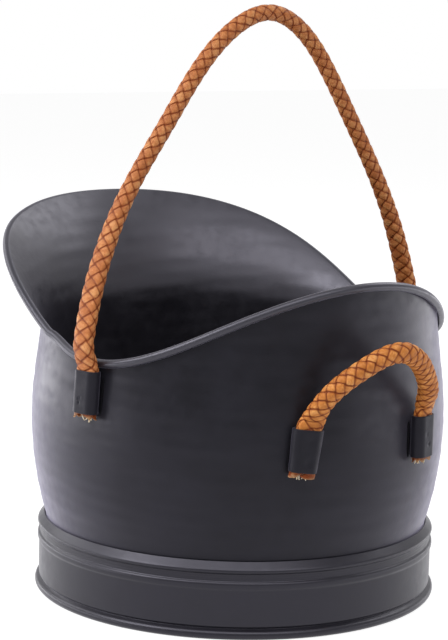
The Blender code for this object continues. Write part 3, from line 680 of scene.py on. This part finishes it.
class Seat:
    """Where a socket sits: its middle, its half sizes, and the ways up, across and outwards."""

    def __init__(self, name):
        points = node_points(name)
        self.middle = points.mean(axis=0)
        ways = main_ways(points - self.middle)
        self.up = ways[2] * np.sign(ways[2][2])
        self.out = ways[0] * np.sign(ways[0] @ (self.middle - AXIS))
        self.across = np.cross(self.up, self.out)
        self.length, self.width, self.depth = (
            np.abs((points - self.middle) @ way).max() for way in (self.up, self.across, self.out))
        self.mouth = self.middle + self.up * self.length


SIDES = ("right", "left")
seats = {(kind, side): Seat(kind + "_socket_" + side) for kind in ("carry", "rear") for side in SIDES}
for key, seat in seats.items():
    half_sizes = np.array([seat.width, seat.depth, seat.length])
    print(key, "mouth at", np.round(seat.mouth / MM, 1), "half sizes", np.round(half_sizes / MM, 2))

# %% Build the sockets
TUBE_WALL = 1.3 * MM
TUBE_COLUMNS = 96
TUBE_ROWS, LIP_ROWS = 40, 7
# In millimetres, each dent has its place across the tube and along it, its depth and its width.
DENTS = {("carry", "right"): ((-1.6, -7.2, 0.8, 0.8), (-2.2, -4.4, 0.6, 0.7), (-0.6, -3.8, 0.6, 0.7)),
         ("carry", "left"): ((0.8, -5.6, 0.7, 0.9), (0.9, -3.2, 0.5, 0.8)),
         ("rear", "left"): ((0.6, -5.6, 0.7, 1.3), (-2.4, 1.5, 0.3, 1.6)),
         ("rear", "right"): ((1.8, 7.6, 0.45, 2.6), (1.6, -7.6, 0.5, 2.8))}
MOUTH_FLARE = {("carry", "right"): 0.0, ("carry", "left"): 0.0,
               ("rear", "left"): 0.03, ("rear", "right"): 0.10}


def oval(width, depth, count):
    """Points and outward normals of an oval with straight long sides, evenly spaced along it."""
    straight = width - depth
    quarter = np.pi * depth / 2
    total = 4 * straight + 4 * quarter
    at = (np.arange(count) + 0.5) / count * total
    right = at < total / 2
    at = np.where(right, at, at - total / 2)
    turn = np.clip((at - straight) / depth, 0, np.pi) - np.pi / 2
    back = straight - (at - straight - 2 * quarter)
    x = np.where(at < straight, at, np.where(at > straight + 2 * quarter, back, straight))
    normal = np.stack([np.cos(turn), np.sin(turn)], axis=1)
    point = np.stack([x, 0 * x], axis=1) + depth * normal
    sign = np.where(right, 1.0, -1.0)[:, None]
    return point * sign, normal * sign


def tube_section():
    """How far inside the outer face, and how high, each row lies: up outside, over, down inside."""
    half = TUBE_WALL / 2
    turned = np.linspace(0, np.pi, LIP_ROWS + 1)[1:-1]
    rise = np.linspace(-1, 1, TUBE_ROWS)
    over = half * np.cos(turned)
    inset = np.concatenate([0 * rise, half - over, 0 * rise + TUBE_WALL, half + over])
    height = np.concatenate([rise, 1 + 0 * turned, rise[::-1], -1 + 0 * turned])
    lift = np.concatenate([0 * rise, half * np.sin(turned), 0 * rise, -half * np.sin(turned)])
    return inset, height, lift


def socket_rows(seat, dents, mouth_flare):
    """The tube's surface: an oval swept upwards, widened to its mouth, with bell-shaped dents."""
    point, normal = oval(seat.width, seat.depth, TUBE_COLUMNS)
    inset, height, lift = tube_section()
    straight = seat.length - TUBE_WALL / 2
    along = (height * straight + lift)[:, None]
    flat = point[None] - normal[None] * inset[:, None, None]
    flat[..., 0] *= 1 + mouth_flare * ease((along / seat.length + 1) / 2)
    push = np.zeros(flat.shape[:2])
    for side, rise, deep, wide in dents:
        far = ((flat[..., 0] - side * MM) ** 2 + (along - rise * MM) ** 2) / (wide * MM) ** 2
        push += deep * MM * np.exp(-far) * (flat[..., 1] > 0)
    return (seat.middle + flat[..., :1] * seat.across + (flat[..., 1:] - push[..., None]) * seat.out
            + along[..., None] * seat.up)


for (kind, side), seat in seats.items():
    rows = socket_rows(seat, DENTS[kind, side], MOUTH_FLARE[kind, side])
    name = kind + "_socket_" + side
    tube = sheet_piece(name + "_tube", rows, tube_paint)
    dress(tube, "bucket", "socket_steel", name)

# %% [markdown]
# Welds hold the tubes. A hand-laid bead is a row of overlapping puddles, so each is a thin tube
# whose radius swells and shrinks about once a millimetre and tapers at both ends.

# %% Build the weld beads
BEAD_PUDDLE = 1.3 * MM
PUDDLE_SHARE = 0.14       # how much thinner the bead is between two puddles
BEAD_FILL, TAPER_POWER, TAPER_END = 0.95, 6, 0.999
BEAD_RINGS, BEAD_SIDES = 72, 14


def bead_rows(name):
    """A rippled tube along the longest direction of the CAD bead."""
    points = node_points(name)
    middle = points.mean(axis=0)
    ways = main_ways(points - middle)
    reach, thick = (np.abs((points - middle) @ ways[k]).max() for k in (2, 0))
    share = np.linspace(-1, 1, BEAD_RINGS)
    taper = np.sqrt(1 - np.clip(np.abs(share), 0, TAPER_END) ** TAPER_POWER)
    ripple = 1 - PUDDLE_SHARE * (1 - np.cos(math.tau * share * reach / BEAD_PUDDLE)) / 2
    line = middle + (share * reach)[:, None] * ways[2]
    radius = (thick * BEAD_FILL * taper * ripple)[:, None]
    return round_tube(line, radius, ways[0], ways[1], BEAD_SIDES)


for kind, side in seats:
    for place in ("near", "far"):
        name = kind + "_socket_" + side + "_weld_" + place
        bead = tube_piece(name + "_bead", [bead_rows(name)], weld_shaded_paint)
        dress(bead, "bucket", "socket_steel", name)

# %% [markdown]
# ## Leather
#
# The ropes are round braids of vegetable-tanned leather laces: tan and waxed by handling, with painted
# shade in the creases between them. Their cut ends are a dull brown, with painted shade towards them
# below the sockets. Every lace is slightly different, with dark flecks where the hide had its pores.
# The short rope, which is touched less, kept a lighter tan, so there are two leathers. The mesh carries
# what the shader needs: the place along and across each lace for the grain, a tone for each visible
# float, how deep a point lies together with the painted shade along edges and ends, and how near it is
# to the cut end.

# %% Leather material
GRAIN, GRAIN_DEPTH = 0.55 * MM, 0.12 * MM
FIBRE = 2.6 * MM
# The crease colour is painted shade, laid by depth where the laces dive and along their edges.
CREASE_SHADE_COLOUR, CUT_COLOUR = "#76350C", "#94704F"
DARK_TO_MID, MID_TO_PALE = (0.40, 1.00), (0.85, 1.50)      # of the cloudy noise plus the tone
FLECKS, FLECK_SHARE = (0.52, 0.75), 0.6                    # of the grain
CREASE_SHADE_RANGE = (0.11, 0.33)                                     # of the depth


def laced_leather(name, mid, pale, dark):
    """Braided leather: toned floats, lengthwise grain, painted shade in creases and near the cut ends,
    and dull cut faces.

    Its colour is laid in layers: each is mixed over the ones before by how far its value has come
    from one limit to the other.
    """
    material, tree, shader = new_material(name)
    lace, tone, depth, cut = (
        add(tree, "Attribute", attribute_name=label).outputs[kind]
        for label, kind in (("lace_place", "Vector"), ("tone", "Fac"), ("depth", "Fac"),
                            ("cut", "Fac")))
    stretched = add(tree, "Mapping", {"Vector": lace, "Scale": (0.3, 1.0, 1.0)})
    grain, cloud = (add(tree, "TexNoise", {"Vector": place, "Scale": 1 / size, "Detail": 3.0})
                    for place, size in ((stretched, GRAIN), (lace, FIBRE)))
    vary = add(tree, "Math", {0: cloud, 1: tone}, operation="ADD")
    colour = srgb(dark)
    # The depth layer mixes in the painted crease shade: in the hollows, along the laces' edges and
    # towards the cut ends.
    for value, (low, high), most, layer in (
            (vary, DARK_TO_MID, 1.0, mid), (vary, MID_TO_PALE, 1.0, pale),
            (grain, FLECKS, FLECK_SHARE, dark), (depth, CREASE_SHADE_RANGE, 1.0, CREASE_SHADE_COLOUR),
            (cut, (0.0, 1.0), 1.0, CUT_COLOUR)):
        share = add(tree, "MapRange", {"Value": value, "From Min": low, "From Max": high,
                                       "To Max": most})
        colour = add(tree, "Mix", {0: share, 6: colour, 7: srgb(layer)}, data_type="RGBA").outputs[2]
    rough = add(tree, "MapRange", {"Value": grain, "To Min": 0.42, "To Max": 0.68})
    bump = add(tree, "Bump", {"Height": grain, "Strength": 0.45, "Distance": GRAIN_DEPTH})
    connect(tree, shader, {"Base Color": colour, "Roughness": rough, "Normal": bump,
                           "Specular IOR Level": 0.22})
    return material


carry_leather = laced_leather("veg_tanned_lace", "#B46F3E", "#C89663", "#8A4B25")
rear_leather = laced_leather("veg_tanned_lace_rear", "#C87F3C", "#DEA869", "#9A5721")
print("leathers:", carry_leather.name, "and", rear_leather.name)

# %% [markdown]
# ## Route of a rope
#
# A cored leather rope is stiff enough to stand by itself. Each route starts at its cut end under
# one socket, runs straight up through the tube, bends out to clear the rolled rim, rises in an
# arch and comes down the same way. The arch is a smooth curve through points given as shares of
# its half width and of its rise. Blurring the finished line rounds the joins between the runs.

# %% Shape the routes
ROPE_TAIL = 3.8 * MM
CARRY_STUB, CARRY_STUB_OUT, REAR_STUB = 21.0 * MM, 6.0 * MM, 7.0 * MM
STUB_IN = {("carry", "right"): 0.0, ("carry", "left"): 0.0,
           ("rear", "right"): 2.6 * MM, ("rear", "left"): 1.8 * MM}
ARCH_RISE, REAR_RISE, REAR_LEAN = 216.7 * MM, 55.6 * MM, math.radians(36.3)
ARCH_SHARES = ((1.0, 0.0), (0.972, 0.10), (0.907, 0.25), (0.768, 0.45), (0.567, 0.65),
               (0.388, 0.82), (0.207, 0.94), (-0.036, 1.0), (-0.229, 0.94), (-0.385, 0.82),
               (-0.551, 0.65), (-0.734, 0.45), (-0.877, 0.25), (-0.954, 0.10), (-1.0, 0.0))
REAR_SHARES = ((1.0, 0.0), (0.990, 0.20), (0.868, 0.50), (0.568, 0.80), (0.345, 0.95), (0.045, 1.0),
               (-0.115, 0.95), (-0.375, 0.80), (-0.703, 0.50), (-0.932, 0.20), (-1.0, 0.0))
ROUTE_STEP = 0.25 * MM
SOCKET_STEPS, ARCH_STEPS = 160, 600
ASIDE_SHARE = 0.8         # the rope has moved aside by this share of its stub
CARRY_ROUNDING, REAR_ROUNDING = 3.0 * MM, 2.5 * MM


def smooth_curve(points, count):
    """A natural cubic spline through points, found by solving for the bend at each of them."""
    points = np.asarray(points, float)
    steps = np.linalg.norm(np.diff(points, axis=0), axis=1)
    at = np.concatenate([[0], np.cumsum(steps)])
    size = len(points)
    matrix = np.eye(size)
    inner = np.arange(1, size - 1)
    matrix[inner, inner - 1], matrix[inner, inner + 1] = steps[:-1], steps[1:]
    matrix[inner, inner] = 2 * (steps[:-1] + steps[1:])
    slopes = np.diff(points, axis=0) / steps[:, None]
    straight = 0 * points[:1]
    bend = np.linalg.solve(matrix, np.concatenate([straight, 6 * np.diff(slopes, axis=0), straight]))
    where = np.linspace(0, at[-1], count)
    span = np.clip(np.searchsorted(at, where, side="right") - 1, 0, size - 2)
    width = steps[span][:, None]
    before = (where - at[span])[:, None] / width
    after = 1 - before
    bulge = (after ** 3 - after) * bend[span] + (before ** 3 - before) * bend[span + 1]
    return after * points[span] + before * points[span + 1] + width ** 2 / 6 * bulge


def swing_point(seat, stub, stub_out, aside):
    """The middle of the rope on the swing axis: up from the mouth, then out and aside."""
    out = unit(seat.out * [1, 1, 0])
    return seat.mouth + stub * seat.up + stub_out * out + aside * np.cross([0, 0, 1], out)


def socket_run(seat, stub, end):
    """From the cut end up through the socket to the swing axis, eased aside over the mouth."""
    height = np.linspace(-2 * seat.length - ROPE_TAIL, stub, SOCKET_STEPS)[:-1, None]
    aside = end - seat.mouth - stub * seat.up
    return seat.mouth + height * seat.up + aside * ease(height / (ASIDE_SHARE * stub))


def rope_route(kind, stub, stub_out, rise, lean, shares, rounding):
    """The whole middle line of a rope, in even steps, and the normal of its arch's plane."""
    right, left = (swing_point(seats[kind, side], stub, stub_out, STUB_IN[kind, side])
                   for side in SIDES)
    runs = [socket_run(seats[kind, side], stub, end) for side, end in zip(SIDES, (right, left))]
    swing = unit(right - left)
    backwards = unit(np.cross([0, 0, 1], swing))
    rise_way = np.cross(swing, backwards) * math.cos(lean) + backwards * math.sin(lean)
    half = np.linalg.norm(right - left) / 2
    flat = smooth_curve([(half * reach, rise * up) for reach, up in shares], ARCH_STEPS)
    arch = (right + left) / 2 + flat[:, :1] * swing + flat[:, 1:] * rise_way
    line = resample(np.concatenate([runs[0], arch, runs[1][::-1]]), ROUTE_STEP)
    return blur(line, ROUTE_STEP, rounding), np.cross(rise_way, swing)


carry_route, carry_normal = rope_route("carry", CARRY_STUB, CARRY_STUB_OUT, ARCH_RISE, 0.0,
                                       ARCH_SHARES, CARRY_ROUNDING)
rear_route, rear_normal = rope_route("rear", REAR_STUB, 0.0, REAR_RISE, REAR_LEAN,
                                     REAR_SHARES, REAR_ROUNDING)
print("routes of", len(carry_route), "and", len(rear_route), "points")

# %% [markdown]
# ## Weaving the braid
#
# Eight flat laces make the braid: four climb one way round and four the other, each going over one and
# under the next. Unroll the rope and the laces become straight bands on a plane, each leaning about 45
# degrees. On that plane a product of two cosines is high where a lace lies on top and low where it
# dives, with opposite signs for the two families, so they never meet. One family is pulled tighter, so
# it waves less, and gets more painted shade along its edges. Rolling the plane up again round the route
# gives true woven strands, and a liner under them, coloured in the full painted crease shade, keeps
# light out of the gaps.

# %% Braid maths
LACES = 8
CARRY_LEAD, REAR_LEAD = 36.5 * MM, 30.0 * MM
ROPE_RADIUS = 5.9 * MM
LACE_THICKNESS = 0.8 * MM
TIGHT_WEAVE, LOOSE_WEAVE = 0.34 * MM, 0.46 * MM
# Strengths of painted shade along the tight and the loose laces' edges, and towards the cut ends.
TIGHT_EDGE_SHADE, LOOSE_EDGE_SHADE, CUT_END_SHADE = 0.16, 0.05, 0.26
LACE_SHARE = 0.93
FLAT_POWER = 0.35
LACE_STEP = 0.76 * MM
LACE_APART = 7.0 * MM      # in the grain, so that the laces of a family look different
LACE_PROFILE = np.array([(-1.0, 0.0), (-0.93, 0.62), (-0.66, 0.92), (0.0, 1.0), (0.66, 0.92),
                         (0.93, 0.62), (1.0, 0.0), (0.7, -0.8), (0.0, -1.0), (-0.7, -0.8)])
SHADED_EDGE = 0.9           # painted edge shade lies beyond this share of the lace's half width
LINER_RADIUS, LINER_SIDES = 4.1 * MM, 24
SPLAY_SHARE, SPLAY_POWER = 0.12, 1.5
RAGGED_CUT, RAW_LENGTH = 2.8 * MM, 0.8 * MM
FLOAT_TONES, LACE_TONES = 0.25, (0.1, 0.35)
dice = np.random.default_rng(11)


def soft_sign(value):
    """A cosine pressed flat: its size is raised to a power under one, and its sign is kept."""
    return np.sign(value) * np.abs(value) ** FLAT_POWER


def lace_surface(way, index, start, stop, lead):
    """One lace on the unrolled rope: angle, length along, radius, float number and its own place."""
    pairs = LACES / 2
    base = ROPE_RADIUS - LOOSE_WEAVE - LACE_THICKNESS / 2
    slant = math.atan2(math.tau * base, lead)
    half_width = lead / pairs * math.sin(slant) / 2 * LACE_SHARE
    along = np.linspace(start, stop, int((stop - start) / LACE_STEP) + 1)[:, None]
    side, lift = LACE_PROFILE[:, 0], LACE_PROFILE[:, 1]
    angle = way * math.tau * along / lead + math.tau * index / pairs
    angle = angle + side * half_width * math.cos(slant) / base
    place = along - way * side * half_width * math.sin(slant)
    first = (angle - math.tau * place / lead) / (math.tau / pairs)
    second = (angle + math.tau * place / lead) / (math.tau / pairs)
    weave = TIGHT_WEAVE if way > 0 else -LOOSE_WEAVE
    weave = weave * soft_sign(np.cos(np.pi * first)) * soft_sign(np.cos(np.pi * second))
    radius = base + weave + lift * LACE_THICKNESS / 2
    crossed = second if way > 0 else first
    lace_place = np.stack(np.broadcast_arrays(along / math.cos(slant), side * half_width,
                                              LACE_APART * index), axis=-1)
    return angle, place, radius, np.floor(crossed + 0.5).astype(int), lace_place


# %% [markdown]
# The braid follows its route with a moving frame: one direction is held near a wanted one, such
# as the flat side of the sockets, and made square to the line. Both ropes are pressed wide and
# thin in their tubes. The short one has its free form again three centimetres above them, the
# tall one only at fifteen.

# %% Build the ropes
def rope_frame(line, wanted):
    """Ways across a line: the wanted one made square to it, and the one square to both."""
    along = unit(np.gradient(line, axis=0))
    first = unit(wanted - np.einsum("ij,ij->i", wanted, along)[:, None] * along)
    return first, np.cross(along, first)


def pressed_ring(angle, wide, thin):
    """A point of the rope's section: a circle of the thin radius, whose halves are drawn apart."""
    apart = np.sin(np.cos(angle) * np.pi / 2)
    return (wide - thin) * apart + thin * np.cos(angle), thin * np.sin(angle)


def shade_points(piece, extras):
    """Store what the shader reads at each point: place on its lace, tone, depth with painted shade, and
    cut.
    """
    for column, label in enumerate(("lace_place", "tone", "depth", "cut")):
        values = np.concatenate([extra[column] for extra in extras]).astype(np.float32)
        kind, field = ("FLOAT_VECTOR", "vector") if values.ndim == 2 else ("FLOAT", "value")
        piece.data.attributes.new(label, kind, "POINT").data.foreach_set(field, values.ravel())


def braid_rope(name, route, wanted, wide, thin, lead, finish):
    """Weave all laces of one rope along its route, as one mesh with its shading attributes."""
    total = (len(route) - 1) * ROUTE_STEP
    wide_way, thin_way = rope_frame(route, wanted)
    at = np.arange(len(route)) * ROUTE_STEP
    tubes, extras = [], []

    def on_rope(angle, place, radius):
        """Roll the plane up: an angle, a length along the route and a share of the radius."""
        middle, first, second = (
            np.stack([np.interp(place, at, values[:, k]) for k in range(3)], axis=-1)
            for values in (route, wide_way, thin_way))
        x, y = pressed_ring(angle, np.interp(place, at, wide), np.interp(place, at, thin))
        return middle + (radius * x)[..., None] * first + (radius * y)[..., None] * second

    for number in range(LACES):
        way, index = (1, number) if number < LACES // 2 else (-1, number - LACES // 2)
        ends = dice.uniform(0.0, RAGGED_CUT, 2)
        angle, place, radius, floats, lace_place = lace_surface(way, index, ends[0], total - ends[1],
                                                                lead)
        from_end = np.minimum(place, total - place) / ROPE_TAIL
        # Painted shade is added to the depth: along the laces' edges, more for the tight family, and
        # towards the cut ends below the sockets.
        painted_shade = (TIGHT_EDGE_SHADE if way > 0 else LOOSE_EDGE_SHADE) * (np.abs(LACE_PROFILE[:, 0]) > SHADED_EDGE)
        painted_shade = painted_shade + CUT_END_SHADE * ease(2 - from_end)
        depth = (ROPE_RADIUS - radius) / (2 * LOOSE_WEAVE + LACE_THICKNESS) + painted_shade
        cut = ease(1 - np.minimum(place - ends[0], total - ends[1] - place) / RAW_LENGTH)
        splay = SPLAY_SHARE * np.clip(1 - from_end, 0, 1) ** SPLAY_POWER
        tubes.append(on_rope(angle, place, radius * (1 + splay) / ROPE_RADIUS))
        tones = dice.uniform(0.0, 1.0, floats.max() - floats.min() + 1)
        tone = tones[floats - floats.min()] * FLOAT_TONES + dice.uniform(*LACE_TONES)
        extras.append((lace_place.reshape(-1, 3), tone.ravel(), depth.ravel(), cut.ravel()))
    along = np.linspace(ROPE_TAIL, total - ROPE_TAIL, int(total / LACE_STEP / 2))[:, None]
    turns = full_turn(LINER_SIDES)
    liner = on_rope(turns + 0 * along, along + 0 * turns, LINER_RADIUS / ROPE_RADIUS)
    tubes.append(liner)
    places = liner.reshape(-1, 3)
    # The liner's depth of one gives it the full painted crease shade: a dark sheet where there is only
    # shade.
    extras.append((places, np.full(len(places), 0.5), np.ones(len(places)), np.zeros(len(places))))
    rope = tube_piece(name, tubes, finish, SHARP_LACE)
    shade_points(rope, extras)
    print(name, "is", round(total / MM), "mm long with", len(rope.data.polygons), "faces")
    return rope


PRESSED_WIDTH, PRESSED_DEPTH = 9.0 * MM, 4.5 * MM
REAR_WIDTH, REAR_DEPTH = 7.3 * MM, 6.5 * MM
CARRY_FLAT_TO, CARRY_ROUND_AT = 40 * MM, 150 * MM
REAR_FLAT_TO, REAR_ROUND_AT = 2 * MM, 30 * MM


def handle_rope(name, kind, route, free_way, free_width, free_depth, flat_to, round_at, lead, finish):
    """Set the rope's frame and its two half sizes along the route, then weave it.

    It is pressed flat up to one distance from its sockets, and eased to its free form at another.
    """
    at = np.arange(len(route)) * ROUTE_STEP
    buried = 2 * seats[kind, "right"].length + ROPE_TAIL
    from_right, from_left = at - buried, at[-1] - at - buried
    pressed = 1 - ease((np.minimum(from_right, from_left) - flat_to) / (round_at - flat_to))
    wide = free_width + (PRESSED_WIDTH - free_width) * pressed
    thin = free_depth + (PRESSED_DEPTH - free_depth) * pressed
    wanted = free_way
    for side, distance, end in (("right", from_right, 0), ("left", from_left, -1)):
        way = seats[kind, side].across
        share = (1 - ease(distance / (3 * PRESSED_WIDTH)))[:, None]
        wanted = wanted * (1 - share) + way * np.sign(way @ free_way[end]) * share
    return braid_rope(name, route, wanted, wide, thin, lead, finish)


carry_way = np.tile(carry_normal, (len(carry_route), 1))
rear_way = np.cross(rear_normal, np.gradient(rear_route, axis=0))
carry_rope = handle_rope("carry_rope", "carry", carry_route, carry_way, ROPE_RADIUS, ROPE_RADIUS,
                         CARRY_FLAT_TO, CARRY_ROUND_AT, CARRY_LEAD, carry_leather)
rear_rope = handle_rope("rear_rope", "rear", rear_route, unit(rear_way), REAR_WIDTH, REAR_DEPTH,
                        REAR_FLAT_TO, REAR_ROUND_AT, REAR_LEAD, rear_leather)

# %% [markdown]
# Each rope crosses its own swing axis: its ends are held by the bucket, and its arch swings. The real
# rope flexes above its sockets; here each rope keeps the place where it was built, and the imported
# rope and its ends are hidden. The bend heights are listed but not used.

# %% Fix the ropes in place and hide the imported ones
CARRY_BEND = 13.0 * MM
REAR_BEND_LOW, REAR_BEND_HIGH = 6.5 * MM, 10.0 * MM
for rope, kind, low, high in ((carry_rope, "carry", CARRY_BEND, CARRY_BEND),
                              (rear_rope, "rear", REAR_BEND_LOW, REAR_BEND_HIGH)):
    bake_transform(rope)
    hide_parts(kind + "_handle_rope", kind + "_rope_end_right", kind + "_rope_end_left")

# %% [markdown]
# ## Cotton tufts
#
# Where the ropes are cut, below the sockets, the cotton core frays into a few pale yarns. They
# are tiny, but they are the only light spots on the dark wall, so the eye finds them.

# %% Build the tufts
YARNS = 5
YARN_RADIUS, YARN_TAPER = 0.55 * MM, 0.35
YARN_RINGS, YARN_SIDES = 9, 8
YARN_SHORTEST, YARN_LONGEST = 7.2 * MM, 8.8 * MM
YARN_TUCK = 3 * MM        # from the cut up to where the yarns are rooted
YARN_LEAN = 0.3
YARN_SPREAD = (0.45 * PRESSED_DEPTH, 0.6 * PRESSED_WIDTH)


def yarn(seat, root, length, lean):
    """A short tapered tube that leaves its root downwards and curls away by its lean."""
    share = np.linspace(0, 1, YARN_RINGS)[:, None]
    curl = seat.out * lean[0] + seat.across * lean[1]
    line = root - seat.up * length * share + curl * length * share ** 2
    radius = YARN_RADIUS * (1 - YARN_TAPER * share ** 3)
    return round_tube(line, radius, seat.out, seat.across, YARN_SIDES)


for (kind, side), seat in seats.items():
    cut_end = seat.mouth - seat.up * 2 * seat.length
    yarns = []
    for _ in range(YARNS):
        out, across = dice.uniform(-1, 1, 2) * YARN_SPREAD
        root = cut_end + seat.up * YARN_TUCK + seat.out * out + seat.across * across
        length = dice.uniform(YARN_SHORTEST, YARN_LONGEST)
        yarns.append(yarn(seat, root, length, dice.uniform(-YARN_LEAN, YARN_LEAN, 2)))
    tuft = tube_piece(kind + "_tuft_" + side, yarns, cotton)
    dress(tuft, "bucket", "core_cord")
